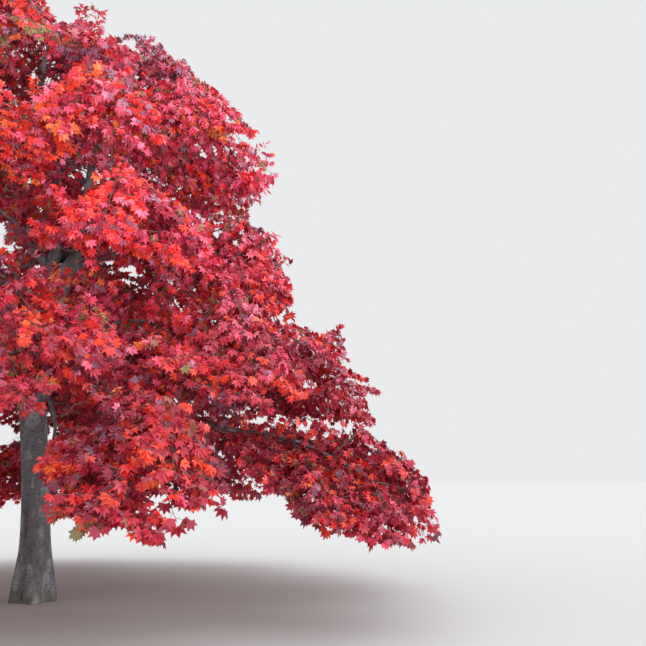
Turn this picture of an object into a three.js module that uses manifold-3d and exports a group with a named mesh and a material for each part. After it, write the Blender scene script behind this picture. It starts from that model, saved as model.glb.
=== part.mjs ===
// A broad old Japanese maple in red autumn leaf: one clear trunk, a ring of spreading boughs that
// arch over and hang, three rising leaders, and flat masses of foliage in five tiers.
// Millimetres, +Z up, the origin at the middle of the trunk's flat cut at ground level.
import * as THREE from "three";
import { mergeVertices } from "three/addons/utils/BufferGeometryUtils.js";
import Module from "manifold-3d";

const wasm = await Module();
wasm.setup();

const rad = THREE.MathUtils.degToRad;
const lerp = THREE.MathUtils.lerp;
const clearance = 0.3; // between pieces that meet

// The trunk, from its flat cut to the fork
const trunk = {
  forkHeight: 3150,
  footRadius: 180, // without the flare
  forkRadius: 158,
  flareSpread: 80, // how far the root flare stands out at the ground
  flareHeight: 500, // where a third of the flare is left
  rootLobes: 5,
  lobeDepth: 0.16,
  lobeHeight: 480, // where a third of their depth is left
  lean: -290, // how far the fork stands to the left of the foot
  levels: [0, 200, 450, 750, 1100, 1700, 2400],
  blunt: { height: 60, width: 0.6 }, // its rounded top, where the leaders leave
  sides: 14,
};

// The crown reaches further to the light, towards this azimuth
const crownLean = { azimuth: -60, shift: 250 };

// Each tier of the crown is a ring of masses, one at each azimuth, counted from +X. share is how much
// of its stretch of the ring each fills. reach is from the trunk's foot to the leaf tips, height is the
// masses' middle and lift how far above or below it each stands. droop is how far the outer end hangs
// below the inner one. entry is where the stem comes in, in half lengths along and up, and pairsAt is
// where it carries pairs of side twigs.
const tiers = [
  {
    foliage: "lower_foliage",
    limb: "main_bough",
    azimuths: [-80, -43, -2, 45, 95, 150, 214],
    share: [1, 1, 1, 1, 1, 1, 1],
    lift: [100, 0, 0, 180, -220, 240, -120],
    reach: 4100,
    height: 3140,
    length: 2600,
    thickness: 1950,
    droop: 1150,
    entry: [-0.9, 0],
    pairsAt: [0.2, 0.5, 0.8],
    carrier: "trunk",
    leaveAt: [0.72, 0.92],
    rootAngle: 42,
    radii: [92, 22],
    sides: 6,
    steps: 6,
  },
  {
    foliage: "crown_top_foliage",
    limb: "leader",
    azimuths: [-80, 40, 160],
    share: [1, 1, 1],
    lift: [0, 180, -100],
    reach: 2350,
    height: 6950,
    length: 2800,
    thickness: 2000,
    droop: 1150,
    entry: [-0.5, 0.05],
    pairsAt: [0.12, 0.45, 0.8],
    carrier: "trunk",
    leaveAt: [0.96, 0.96],
    rootAngle: 66,
    radii: [104, 24],
    sides: 6,
    steps: 7,
  },
  {
    foliage: "skirt_foliage",
    limb: "low_bough",
    azimuths: [-61, -24, 14, 58, 106, 154, 204, 252],
    share: [0.44, 0.7, 1, 1, 1, 1, 1, 0.9],
    lift: [0, 0, 0, 150, -50, 250, -80, 160],
    reach: 4950,
    height: 1840,
    length: 2500,
    thickness: 1250,
    droop: 1000,
    entry: [-0.9, 0],
    pairsAt: [0.22, 0.5, 0.8],
    carrier: "main_bough",
    leaveAt: [0.28, 0.4],
    rootAngle: 8,
    radii: [56, 20],
    sides: 5,
    steps: 6,
  },
  {
    foliage: "middle_foliage",
    limb: "middle_bough",
    azimuths: [-66, -21, 28, 84, 145, 212],
    share: [1, 1, 1, 1, 1, 1],
    lift: [-100, 0, 0, 250, -150, 250],
    reach: 3350,
    height: 4300,
    length: 2600,
    thickness: 2000,
    droop: 1150,
    entry: [-0.88, 0],
    pairsAt: [0.2, 0.5, 0.8],
    carrier: "leader",
    leaveAt: [0.2, 0.34],
    rootAngle: 38,
    radii: [62, 20],
    sides: 5,
    steps: 5,
  },
  {
    foliage: "upper_foliage",
    limb: "upper_bough",
    azimuths: [-74, -22, 45, 124, 203],
    share: [1, 1, 1, 1, 1],
    lift: [-220, 0, 100, -250, 150],
    reach: 2960,
    height: 5800,
    length: 2500,
    thickness: 1950,
    droop: 700,
    entry: [-0.85, -0.1],
    pairsAt: [0.15, 0.5, 0.85],
    carrier: "leader",
    leaveAt: [0.5, 0.62],
    rootAngle: 45,
    radii: [48, 20],
    sides: 5,
    steps: 5,
  },
];

// What a mass's space is like
const spaceShape = {
  spread: 1.15, // over its neighbours
  widest: 0.6, // its greatest half width, in its length
  flare: 0.35, // how much wider it grows from its middle to its outer end
  narrowest: 0.3, // the least share of its width that is left inward
  raised: 0.25, // the share of its droop that lifts its inner end
  sides: 0.3, // and that its two sides hang
};

// How a limb's curve holds its headings at both ends, in its own length, and wanders between them,
// also up and down at a rate of its own
const limbShape = {
  rootHold: 0.42,
  tipHold: 0.34,
  wander: 0.035,
  turns: 1.4,
  upright: 0.6, // of the wander to the side
  uprightRate: 1.3,
  taper: 1.25,
  aim: { along: 0.25, up: 0.6 }, // its tip heads this far into its mass, at this much of its height
};
const limbSamples = 40; // stops along a limb where foliage keeps its distance
const ownPart = 0.9; // past this share of its own limb, a mass may come close to it

// How much one mass differs from the next
const variety = { width: 0.04, thickness: 0.08, droop: 0.15, reach: 0.03, height: 130 };

// The twigs of one mass: a stem and opposite pairs of side twigs. Places are in the mass's own half
// sizes: outward, to the side and up.
const twigs = {
  stemRadius: 17,
  stemTipRadius: 15,
  sideRadius: 8.5,
  sideTipRadius: 8,
  stemFrom: 0.99, // of its limb's length, cut clear of the tip later
  stemEnd: 0.42,
  apart: 0.03, // along the stem, from the middle of a pair
  advance: 0.36,
  rootAdvance: 0.12, // of a pair at the stem's root
  fullFrom: 0.4, // along the stem, from where pairs advance in full
  spread: 0.38,
  rise: 0.5, // twigs run high and low in turn
  uneven: 0.15, // how much their lengths vary
};

// A blade stands for a whole spray of leaves
const blade = {
  reach: 0.78, // in the mass's half sizes
  fits: [1, 0.88, 0.76, 0.64], // of the reach
  lifts: [0, 0.24, -0.24], // of its tip
  width: 0.6, // of its length
  thickness: 0.04, // of its length
  waist: 0.5, // where it is widest
  sunk: 5, // back from its twig's end
  fan: 66, // degrees between neighbours at a twig's end
  turnedBack: 80, // degrees from its twig for one half way along
  stray: 12, // degrees off its place in the fan
  flatten: 0.45, // how much of its root's height above the middle its tip keeps
  hang: 0.12, // how far its tip hangs
  sway: 0.16, // and how much that varies
  roll: 34, // degrees either way
  touch: 60, // cubic millimetres that blades may share at their roots
  cellMargin: 0.04,
  limbMargin: 40,
};

const barkColour = "#77726f";
const leafColours = ["#b3202c", "#c8242c", "#a51c30", "#d2382c", "#8f1d33"];

// A repeatable number from 0 to 1 for a pair of whole numbers
function chance(seed, k) {
  const s = Math.sin(seed * 12.9898 + k * 78.233) * 43758.5453;
  return s - Math.floor(s);
}

const swing = (seed, k) => 2 * chance(seed, k) - 1;

const heading = (azimuth) =>
  new THREE.Vector3(Math.cos(rad(azimuth)), Math.sin(rad(azimuth)), 0);

// Moves every vertex of a geometry to where place puts it
function reshape(geometry, place) {
  const position = geometry.attributes.position;
  const point = new THREE.Vector3();
  for (let i = 0; i < position.count; i++) {
    point.fromBufferAttribute(position, i);
    const moved = place(point);
    position.setXYZ(i, moved.x, moved.y, moved.z);
  }
  return geometry;
}

function solidOf(geometry) {
  geometry.deleteAttribute("normal");
  geometry.deleteAttribute("uv");
  const merged = mergeVertices(geometry, 1e-3);
  return new wasm.Manifold(
    new wasm.Mesh({
      numProp: 3,
      vertProperties: new Float32Array(merged.attributes.position.array),
      triVerts: new Uint32Array(merged.index.array),
    }),
  );
}

// Frames along a curve whose normals point up, so that a three-sided twig has its ridge on top
function uprightFrames(curve, steps) {
  const frames = { tangents: [], normals: [], binormals: [] };
  for (let i = 0; i <= steps; i++) {
    const tangent = curve.getTangentAt(i / steps);
    const binormal = new THREE.Vector3(tangent.y, -tangent.x, 0).normalize();
    frames.tangents.push(tangent);
    frames.binormals.push(binormal);
    frames.normals.push(binormal.clone().cross(tangent));
  }
  return frames;
}

// A cylinder bent along a curve, its radius following radiusAt. extra is added all round and at
// both ends.
function taperedTube(curve, radiusAt, sides, steps, extra = 0) {
  const upright = sides === 3;
  const frames = upright ? uprightFrames(curve, steps) : curve.computeFrenetFrames(steps, false);
  const cylinder = new THREE.CylinderGeometry(1, 1, 1, sides, steps);
  reshape(cylinder, (p) => {
    const i = Math.round((p.y + 0.5) * steps);
    const r = radiusAt(i / steps) + extra;
    const past = i === 0 ? -extra : i === steps ? extra : 0;
    return curve
      .getPointAt(i / steps)
      .addScaledVector(frames.binormals[i], r * p.x)
      .addScaledVector(frames.normals[i], r * p.z)
      .addScaledVector(frames.tangents[i], past);
  });
  return solidOf(cylinder);
}

// The largest of the bodies that a cut leaves
function largest(solid) {
  return solid
    .decompose()
    .reduce((best, body) => (body.volume() > best.volume() ? body : best));
}

// The trunk

class TrunkLine extends THREE.Curve {
  getPoint(t) {
    return new THREE.Vector3(trunk.lean * t * t, 0, trunk.forkHeight * t);
  }
}

function trunkRadius(z) {
  const taper = lerp(trunk.footRadius, trunk.forkRadius, z / trunk.forkHeight);
  return taper + trunk.flareSpread * Math.exp(-((z / trunk.flareHeight) ** 2));
}

// A turned shape, leaned over, with lobes in the flare where the roots run out
function trunkSolid(extra) {
  const line = new TrunkLine();
  const profile = trunk.levels.map((z) => new THREE.Vector2(trunkRadius(z), z));
  const crown = new THREE.Vector2(trunk.forkRadius, trunk.forkHeight);
  const top = trunk.forkHeight + trunk.blunt.height;
  const blunt = new THREE.Vector2(trunk.blunt.width * trunk.forkRadius, top);
  const outline = [...profile, crown, blunt].map((p) => p.add(new THREE.Vector2(extra, 0)));
  blunt.y += extra;
  const lathe = new THREE.LatheGeometry(
    [new THREE.Vector2(0, 0), ...outline, new THREE.Vector2(0, blunt.y)],
    trunk.sides,
  );
  lathe.rotateX(Math.PI / 2);
  reshape(lathe, (p) => {
    const fade = Math.exp(-p.z / trunk.lobeHeight);
    const lobe = 1 + trunk.lobeDepth * fade * Math.cos(trunk.rootLobes * Math.atan2(p.y, p.x));
    const centre = line.getPoint(p.z / trunk.forkHeight);
    return new THREE.Vector3(centre.x + p.x * lobe, centre.y + p.y * lobe, p.z);
  });
  return solidOf(lathe);
}

// A mass's own space: an egg seen from above, a lens from the side whose outer end hangs

class Space {
  constructor(tier, k, seed) {
    const azimuth = tier.azimuths[k];
    const lit = crownLean.shift * Math.cos(rad(azimuth - crownLean.azimuth));
    const reach = (tier.reach + lit) * (1 + variety.reach * swing(seed, 5));
    this.out = heading(azimuth);
    this.side = heading(azimuth + 90);
    this.halfLength = tier.length / 2;
    this.halfWidth = halfWidthOf(tier, k) * (1 + variety.width * swing(seed, 2));
    this.halfThickness = (tier.thickness / 2) * (1 + variety.thickness * swing(seed, 3));
    this.droop = tier.droop * (1 + variety.droop * swing(seed, 4));
    this.centre = this.out.clone().multiplyScalar(reach - this.halfLength);
    this.centre.z = tier.height + tier.lift[k] + variety.height * swing(seed, 6);
  }

  fall(u, v) {
    return this.droop * (spaceShape.raised - ((u + 1) / 2) ** 2 - spaceShape.sides * v * v);
  }

  widthAt(u) {
    return this.halfWidth * Math.max(spaceShape.narrowest, 1 + spaceShape.flare * u);
  }

  // u runs outward, v to the side and w up, each from -1 to 1
  world(u, v, w) {
    const point = this.centre
      .clone()
      .addScaledVector(this.out, u * this.halfLength)
      .addScaledVector(this.side, v * this.widthAt(u));
    point.z += this.fall(u, v) + w * this.halfThickness;
    return point;
  }

  // 0 in the middle of the space and 1 on its edge
  level(point) {
    const from = point.clone().sub(this.centre);
    const u = from.dot(this.out) / this.halfLength;
    const v = from.dot(this.side) / this.widthAt(u);
    const w = (from.z - this.fall(u, v)) / this.halfThickness;
    return u * u + v * v + w * w;
  }
}

// Half the stretch of the ring between a mass's neighbours, at the masses' middle
function halfWidthOf(tier, k) {
  const turns = tier.azimuths
    .map((other) => (((other - tier.azimuths[k]) % 360) + 360) % 360)
    .filter((turn) => turn > 0);
  const stretch = (Math.min(...turns) + 360 - Math.max(...turns)) / 4;
  const ring = spaceShape.spread * (tier.reach - tier.length / 2);
  return tier.share[k] * Math.min(rad(stretch) * ring, spaceShape.widest * tier.length);
}

const spaces = tiers.map((tier, i) =>
  tier.azimuths.map((_, k) => new Space(tier, k, 10 * i + k + 1)),
);
const allSpaces = spaces.flat();

// A limb leaves its carrier at one heading, reaches its mass at another and wanders on the way

class LimbLine extends THREE.Curve {
  constructor(root, rootHeading, tip, tipHeading, seed) {
    super();
    const span = root.distanceTo(tip);
    this.base = new THREE.CubicBezierCurve3(
      root,
      root.clone().addScaledVector(rootHeading, limbShape.rootHold * span),
      tip.clone().addScaledVector(tipHeading, -limbShape.tipHold * span),
      tip,
    );
    this.side = new THREE.Vector3(-tipHeading.y, tipHeading.x, 0).normalize();
    this.wander = limbShape.wander * span;
    this.phase = chance(seed, 1);
  }

  getPoint(t) {
    const held = Math.sin(Math.PI * t) * this.wander;
    const turn = 2 * Math.PI * (limbShape.turns * t + this.phase);
    const point = this.base.getPoint(t).addScaledVector(this.side, held * Math.sin(turn));
    point.z += limbShape.upright * held * Math.cos(limbShape.uprightRate * turn);
    return point;
  }
}

// A limb's radius falls faster near its root, where it swells into what carries it
function limbRadius(limb, t) {
  const [rootRadius, tipRadius] = limb.tier.radii;
  return tipRadius + (rootRadius - tipRadius) * (1 - t) ** limbShape.taper;
}

function limbTube(limb, extra = 0) {
  const { sides, steps } = limb.tier;
  return taperedTube(limb.line, (t) => limbRadius(limb, t), sides, steps, extra);
}

function nearest(carriers, azimuth) {
  const away = (limb) => Math.abs(((limb.azimuth - azimuth + 900) % 360) - 180);
  return carriers.reduce((best, limb) => (away(limb) < away(best) ? limb : best));
}

const trunkLimb = { azimuth: 0, line: new TrunkLine() };
const limbs = { trunk: [trunkLimb] }; // by what carries them

function makeLimb(tier, azimuth, space, seed) {
  const carrier = nearest(limbs[tier.carrier], azimuth);
  const root = carrier.line.getPointAt(lerp(...tier.leaveAt, chance(seed, 2)));
  const [u, w] = tier.entry;
  const tip = space.world(u, 0, w);
  const aimedAt = space.world(u + limbShape.aim.along, 0, limbShape.aim.up * w);
  const tipHeading = aimedAt.sub(tip).normalize();
  const rootHeading = tip.clone().sub(root).setZ(0).normalize();
  rootHeading.multiplyScalar(Math.cos(rad(tier.rootAngle)));
  rootHeading.z = Math.sin(rad(tier.rootAngle));
  return { azimuth, tier, line: new LimbLine(root, rootHeading, tip, tipHeading, seed) };
}

tiers.forEach((tier, i) => {
  limbs[tier.limb] = tier.azimuths.map((azimuth, k) => ({
    name: `${tier.limb}_${k + 1}`,
    ...makeLimb(tier, azimuth, spaces[i][k], 100 + 10 * i + k),
  }));
});
const allLimbs = tiers.flatMap((tier) => limbs[tier.limb]);

// Distances to limbs are taken from points along their middles
const limbPoints = allLimbs.flatMap((limb) =>
  Array.from({ length: limbSamples + 1 }, (_, i) => ({
    point: limb.line.getPointAt(i / limbSamples),
    radius: limbRadius(limb, i / limbSamples),
    own: i > ownPart * limbSamples ? limb : null,
  })),
);

function clearOfLimbs(point, limb) {
  return limbPoints.every(
    (sample) =>
      sample.own === limb ||
      sample.point.distanceTo(point) > sample.radius + blade.limbMargin,
  );
}

function inOwnSpace(point, space) {
  const level = space.level(point);
  return (
    level < 1 &&
    allSpaces.every((other) => other === space || other.level(point) > level + blade.cellMargin)
  );
}

// A mass of foliage: the stem, its side twigs and the blades on them
class Foliage {
  constructor(space, limb, seed) {
    this.space = space;
    this.limb = limb;
    this.seed = seed;
    this.count = 0;
    this.pieces = [];
    this.growStem();
    let high = chance(seed, 90) > 0.5 ? 1 : -1;
    for (const along of limb.tier.pairsAt) {
      for (const hand of [1, -1]) {
        high = -high;
        this.growSide(along, hand, high);
      }
    }
  }

  hasRoom(points) {
    return points.every((p) => inOwnSpace(p, this.space) && clearOfLimbs(p, this.limb));
  }

  addTwig(points, rootRadius, tipRadius) {
    const curve = new THREE.CatmullRomCurve3(points);
    const radiusAt = (t) => lerp(rootRadius, tipRadius, t);
    curve.solid = taperedTube(curve, radiusAt, 3, points.length - 1);
    this.pieces.push(curve.solid);
    return curve;
  }

  growStem() {
    const { limb, space } = this;
    const [u, w] = limb.tier.entry;
    const stops = [0.5, 1].map((s) => space.world(lerp(u, twigs.stemEnd, s), 0, w * (1 - s)));
    const points = [limb.line.getPointAt(twigs.stemFrom), ...stops];
    this.stem = this.addTwig(points, twigs.stemRadius, twigs.stemTipRadius);
    this.fanOut([twigs.stemEnd, 0, 0], this.stem, 0);
  }

  growSide(along, hand, high) {
    this.count += 1;
    const u = lerp(this.limb.tier.entry[0], twigs.stemEnd, along);
    const root = this.stem.getPointAt(along + hand * twigs.apart);
    const longer = 1 + twigs.uneven * swing(this.seed, this.count + 60);
    const fullness = Math.min(1, along / twigs.fullFrom);
    const advance = longer * lerp(twigs.rootAdvance, twigs.advance, fullness);
    const spread = hand * longer * twigs.spread;
    const to = [u + advance, spread, high * twigs.rise];
    const end = this.space.world(...to);
    const half = root.clone().lerp(end, 0.5);
    if (!this.hasRoom([half, end])) return;
    const twig = this.addTwig([root, end], twigs.sideRadius, twigs.sideTipRadius);
    const azimuth = THREE.MathUtils.radToDeg(Math.atan2(spread, advance));
    const middle = [lerp(u, to[0], 0.5), to[1] / 2, to[2] / 2];
    this.addBlade(middle, half, azimuth + hand * blade.turnedBack, twig);
    this.fanOut(to, twig, azimuth);
  }

  // Three blades at a twig's end
  fanOut(at, twig, azimuth) {
    const root = twig.getPointAt(1).addScaledVector(twig.getTangentAt(1), -blade.sunk);
    for (const turn of [0, blade.fan, -blade.fan]) this.addBlade(at, root, azimuth + turn, twig);
  }

  // A folded kite, at the first length and lift of its tip that stay in the space and cross
  // nothing else
  addBlade([u, v, w], root, azimuth, twig) {
    this.count += 1;
    const { space, seed, count } = this;
    const way = heading(azimuth + blade.stray * swing(seed, count));
    const tipW = blade.flatten * w - blade.hang + blade.sway * swing(seed, count + 20);
    const roll = rad(blade.roll * swing(seed, count + 40));
    for (const fit of blade.fits) {
      const reach = fit * blade.reach;
      for (const lift of blade.lifts) {
        const tip = space.world(u + reach * way.x, v + reach * way.y, lerp(w, tipW + lift, fit));
        const along = tip.clone().sub(root);
        const across = new THREE.Vector3(-along.y, along.x, 0).setLength(along.length());
        across.applyAxisAngle(along.clone().normalize(), roll).multiplyScalar(blade.width / 2);
        const waist = root.clone().addScaledVector(along, blade.waist);
        const corners = [tip, waist.clone().add(across), waist.clone().sub(across)];
        const kite = this.hasRoom(corners) ? bladeSolid(root, along, across) : null;
        if (kite && !this.crosses(kite, twig)) {
          this.pieces.push(kite);
          return;
        }
      }
    }
  }

  // Whether a blade meets anything but its own twig, away from its root
  crosses(kite, twig) {
    return this.pieces.some(
      (piece) => piece !== twig.solid && piece.intersect(kite).volume() > blade.touch,
    );
  }
}

// A tetrahedron flattened to a kite that is folded along its middle, from its root to its tip. Its
// four corners start as alternate corners of a cube from -1 to 1.
function bladeSolid(root, along, across) {
  const up = along.clone().cross(across).setLength(along.length() * blade.thickness);
  const stretch = new THREE.Matrix4().makeBasis(along, across, up).setPosition(root);
  const folded = new THREE.TetrahedronGeometry(Math.sqrt(3)).rotateZ(-Math.PI / 4);
  const kite = reshape(folded.scale(Math.SQRT1_2, Math.SQRT1_2, 1), (p) => {
    p.x = blade.waist + p.x * (p.x > 0 ? 1 - blade.waist : blade.waist);
    p.z = (p.z - 1) / 2;
    return p.applyMatrix4(stretch);
  });
  return solidOf(kite);
}

function boxesMeet(a, b) {
  const p = a.boundingBox();
  const q = b.boundingBox();
  return [0, 1, 2].every((i) => p.min[i] <= q.max[i] && q.min[i] <= p.max[i]);
}

// What is left of a solid outside the cutters, with no scraps
function cutClear(solid, cutters) {
  const inWay = cutters.filter((cutter) => boxesMeet(cutter, solid));
  return largest(inWay.reduce((rest, cutter) => rest.subtract(cutter), solid));
}

function meshOf(name, solid, colour, roughness) {
  const { vertProperties, triVerts } = solid.getMesh();
  const geometry = new THREE.BufferGeometry();
  geometry.setAttribute("position", new THREE.BufferAttribute(vertProperties, 3));
  geometry.setIndex(new THREE.BufferAttribute(triVerts, 1));
  geometry.computeVertexNormals();
  const material = new THREE.MeshStandardMaterial({ color: colour, roughness, flatShading: true });
  const mesh = new THREE.Mesh(geometry, material);
  mesh.name = name;
  return mesh;
}

const tree = new THREE.Group();
tree.name = "japanese_maple_tree";
tree.add(meshOf("trunk", trunkSolid(0), barkColour, 0.9));

// Every limb is cut clear of the trunk and of the limbs made before it
const cutters = [trunkSolid(clearance)];
for (const limb of allLimbs) {
  tree.add(meshOf(limb.name, cutClear(limbTube(limb), cutters), barkColour, 0.9));
  cutters.push(limbTube(limb, clearance));
}

// Every mass is cut clear of them all
tiers.forEach((tier, i) => {
  limbs[tier.limb].forEach((limb, k) => {
    const seed = 10 * i + k + 1;
    const mass = new Foliage(spaces[i][k], limb, seed);
    const solid = cutClear(wasm.Manifold.union(mass.pieces), cutters);
    tree.add(meshOf(`${tier.foliage}_${k + 1}`, solid, leafColours[seed % leafColours.length], 0.55));
  });
});

export default tree;
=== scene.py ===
import math

import bpy
import numpy as np
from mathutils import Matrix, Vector


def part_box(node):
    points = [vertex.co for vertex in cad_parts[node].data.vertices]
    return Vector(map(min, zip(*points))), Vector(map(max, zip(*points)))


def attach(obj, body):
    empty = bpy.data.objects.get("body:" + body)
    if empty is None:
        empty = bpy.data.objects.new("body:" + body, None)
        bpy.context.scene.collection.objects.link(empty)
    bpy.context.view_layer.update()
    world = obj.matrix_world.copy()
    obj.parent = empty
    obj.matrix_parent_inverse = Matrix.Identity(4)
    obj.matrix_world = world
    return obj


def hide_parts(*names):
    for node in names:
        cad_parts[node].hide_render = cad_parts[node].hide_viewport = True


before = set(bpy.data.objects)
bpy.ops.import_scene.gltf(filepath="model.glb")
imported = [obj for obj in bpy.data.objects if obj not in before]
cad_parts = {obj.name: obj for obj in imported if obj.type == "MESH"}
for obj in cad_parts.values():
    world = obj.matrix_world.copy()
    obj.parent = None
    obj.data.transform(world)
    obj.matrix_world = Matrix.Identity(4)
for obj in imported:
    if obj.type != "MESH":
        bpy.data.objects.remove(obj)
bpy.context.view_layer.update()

scene = bpy.context.scene
rng = np.random.default_rng(20)  # the same draws at each run
print("frame loaded:", len(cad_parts), "nodes")

# The limbs and the masses' spaces follow the same rule as the solids, here in metres
trunk = {
    "forkHeight": 3.15,
    "footRadius": 0.18,  # without the flare
    "forkRadius": 0.158,
    "flareSpread": 0.08,
    "flareHeight": 0.5,
    "rootLobes": 5,
    "lobeDepth": 0.16,  # of the radius
    "lobeHeight": 0.48,
    "lean": -0.29,  # along X, at the fork
    "bluntHeight": 0.06,
    "blunting": 0.75,
    "girth": 1.1,  # the way round, for the bark's numbers
    "seed": 3,
}
crownLean = {"azimuth": -60, "shift": 0.25}  # the masses stand further out that way
# Azimuths are in degrees from +X. A mass ends at reach, its middle is at height and lift, its limb
# enters at entry (u, w) and its side twigs leave at pairsAt, from there to the stem's end. Its share
# is of the full width. A limb leaves its carrier between the shares leaveAt, at rootAngle from level.
# Carriers come first.
tiers = [
    {
        "foliage": "lower_foliage", "limb": "main_bough", "carrier": "trunk",
        "azimuths": [-80, -43, -2, 45, 95, 150, 214],
        "lift": [0.1, 0.0, 0.0, 0.18, -0.22, 0.24, -0.12],
        "reach": 4.1, "height": 3.14, "length": 2.6, "thickness": 1.95, "droop": 1.15,
        "entry": [-0.9, 0], "pairsAt": [0.2, 0.5, 0.8],
        "leaveAt": [0.72, 0.92], "rootAngle": 42, "radii": [0.092, 0.022],
    },
    {
        "foliage": "crown_top_foliage", "limb": "leader", "carrier": "trunk",
        "azimuths": [-80, 40, 160],
        "lift": [0.0, 0.18, -0.1],
        "reach": 2.35, "height": 6.95, "length": 2.8, "thickness": 2.0, "droop": 1.15,
        "entry": [-0.5, 0.05], "pairsAt": [0.12, 0.45, 0.8],
        "leaveAt": [0.96, 0.96], "rootAngle": 66, "radii": [0.104, 0.024],
    },
    {
        "foliage": "skirt_foliage", "limb": "low_bough", "carrier": "main_bough",
        "azimuths": [-61, -24, 14, 58, 106, 154, 204, 252],
        "share": [0.44, 0.7, 1, 1, 1, 1, 1, 0.9],
        "lift": [0.0, 0.0, 0.0, 0.15, -0.05, 0.25, -0.08, 0.16],
        "reach": 4.95, "height": 1.84, "length": 2.5, "thickness": 1.25, "droop": 1.0,
        "entry": [-0.9, 0], "pairsAt": [0.22, 0.5, 0.8],
        "leaveAt": [0.28, 0.4], "rootAngle": 8, "radii": [0.056, 0.02],
    },
    {
        "foliage": "middle_foliage", "limb": "middle_bough", "carrier": "leader",
        "azimuths": [-66, -21, 28, 84, 145, 212],
        "lift": [-0.1, 0.0, 0.0, 0.25, -0.15, 0.25],
        "reach": 3.35, "height": 4.3, "length": 2.6, "thickness": 2.0, "droop": 1.15,
        "entry": [-0.88, 0], "pairsAt": [0.2, 0.5, 0.8],
        "leaveAt": [0.2, 0.34], "rootAngle": 38, "radii": [0.062, 0.02],
    },
    {
        "foliage": "upper_foliage", "limb": "upper_bough", "carrier": "leader",
        "azimuths": [-74, -22, 45, 124, 203],
        "lift": [-0.22, 0.0, 0.1, -0.25, 0.15],
        "reach": 2.96, "height": 5.8, "length": 2.5, "thickness": 1.95, "droop": 0.7,
        "entry": [-0.85, -0.1], "pairsAt": [0.15, 0.5, 0.85],
        "leaveAt": [0.5, 0.62], "rootAngle": 45, "radii": [0.048, 0.02],
    },
]
spaceShape = {
    "widest": 0.6,  # the most that its half width can be, in lengths
    "spread": 1.15,  # how far neighbours overlap
    "flare": 0.35,  # how much wider it is outward
    "narrowest": 0.3,
    "raised": 0.25,
    "sides": 0.3,
}
# How much masses differ, in shares of their own sizes and the height in metres
variety = {"width": 0.04, "thickness": 0.08, "droop": 0.15, "reach": 0.03, "height": 0.13}
limbShape = {
    "stops": 201,
    "rootHold": 0.42,  # of the way from root to tip
    "tipHold": 0.34,
    "aimOn": 0.25,  # how far past the entry its tip aims, in u
    "aimLevel": 0.6,  # and at what share of the entry's w
    "ahead": 0.02,  # a share of its length over which its direction is taken
    "wander": 0.035,
    "turns": 1.4,
    "upright": 0.6,
    "uprightRate": 1.3,
    "taper": 1.25,
}
nearlyUp = np.array([0.03, 0.02, 1])  # along no twig, so that each twig has a side


def chance(seed, k):
    # A seed's number k: the fraction of 43758.5453 sin(12.9898 seed + 78.233 k), from 0 to 1
    s = np.sin(seed * 12.9898 + k * 78.233) * 43758.5453
    return s - np.floor(s)


def swing(seed, k):
    return 2 * chance(seed, k) - 1


def heading(azimuth):
    # The level direction at an azimuth counted from +X
    a = np.radians(azimuth)
    return np.stack([np.cos(a), np.sin(a), np.zeros_like(a)], -1)


def unit(v):
    return v / np.maximum(np.linalg.norm(v, axis=-1, keepdims=True), 1e-9)


def levelSide(v):
    # The level direction to the left of v
    return unit(np.array([-v[1], v[0], 0]))


def lerp(a, b, t):
    return a + (b - a) * t


def halfWidthOf(tier, k):
    # A quarter of the ring's stretch between a mass's neighbours, at the masses' middle
    turns = np.mod(np.array(tier["azimuths"]) - tier["azimuths"][k], 360)
    turns = turns[turns > 0]
    stretch = (turns.min() + 360 - turns.max()) / 4
    ring = spaceShape["spread"] * (tier["reach"] - tier["length"] / 2)
    share = tier["share"][k] if "share" in tier else 1
    return share * min(math.radians(stretch) * ring, spaceShape["widest"] * tier["length"])


def makeSpaces():
    # One row for each mass: its outward and sideways directions, middle, half sizes and droop
    rows = []
    for i, tier in enumerate(tiers):
        for k, azimuth in enumerate(tier["azimuths"]):
            seed = 10 * i + k + 1
            leaning = crownLean["shift"] * math.cos(math.radians(azimuth - crownLean["azimuth"]))
            reach = (tier["reach"] + leaning) * (1 + variety["reach"] * swing(seed, 5))
            halfLength = tier["length"] / 2
            halfWidth = halfWidthOf(tier, k) * (1 + variety["width"] * swing(seed, 2))
            halfThickness = tier["thickness"] / 2 * (1 + variety["thickness"] * swing(seed, 3))
            centre = heading(azimuth) * (reach - halfLength)
            centre[2] = tier["height"] + tier["lift"][k] + variety["height"] * swing(seed, 6)
            rows.append({
                "tier": tier,
                "node": f'{tier["foliage"]}_{k + 1}',
                "azimuth": azimuth,
                "seed": seed,
                "limbSeed": 100 + 10 * i + k,
                "out": heading(azimuth),
                "side": heading(azimuth + 90),
                "centre": centre,
                "half": np.array([halfLength, halfWidth, halfThickness]),
                "droop": tier["droop"] * (1 + variety["droop"] * swing(seed, 4)),
            })
    return rows


spaces = makeSpaces()
allOut, allSide, allCentres, allHalves = (
    np.array([s[key] for s in spaces]) for key in ("out", "side", "centre", "half")
)
allDroops = np.array([s["droop"] for s in spaces])


def fall(droop, u, v):
    # A space's middle surface hangs by droop (1/4 - ((u + 1) / 2)² - 0.3 v²)
    return droop * (spaceShape["raised"] - ((u + 1) / 2) ** 2 - spaceShape["sides"] * v * v)


def widening(u):
    # A space's width grows outward by 1 + 0.35 u
    return np.maximum(spaceShape["narrowest"], 1 + spaceShape["flare"] * u)


def toWorld(space, u, v, w):
    # u runs outward, v to the side and w up, each from -1 to 1
    length, width, thickness = space["half"]
    level = space["centre"] + np.multiply.outer(u * length, space["out"])
    level = level + np.multiply.outer(v * width * widening(u), space["side"])
    level[..., 2] += fall(space["droop"], u, v) + w * thickness
    return level


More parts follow.
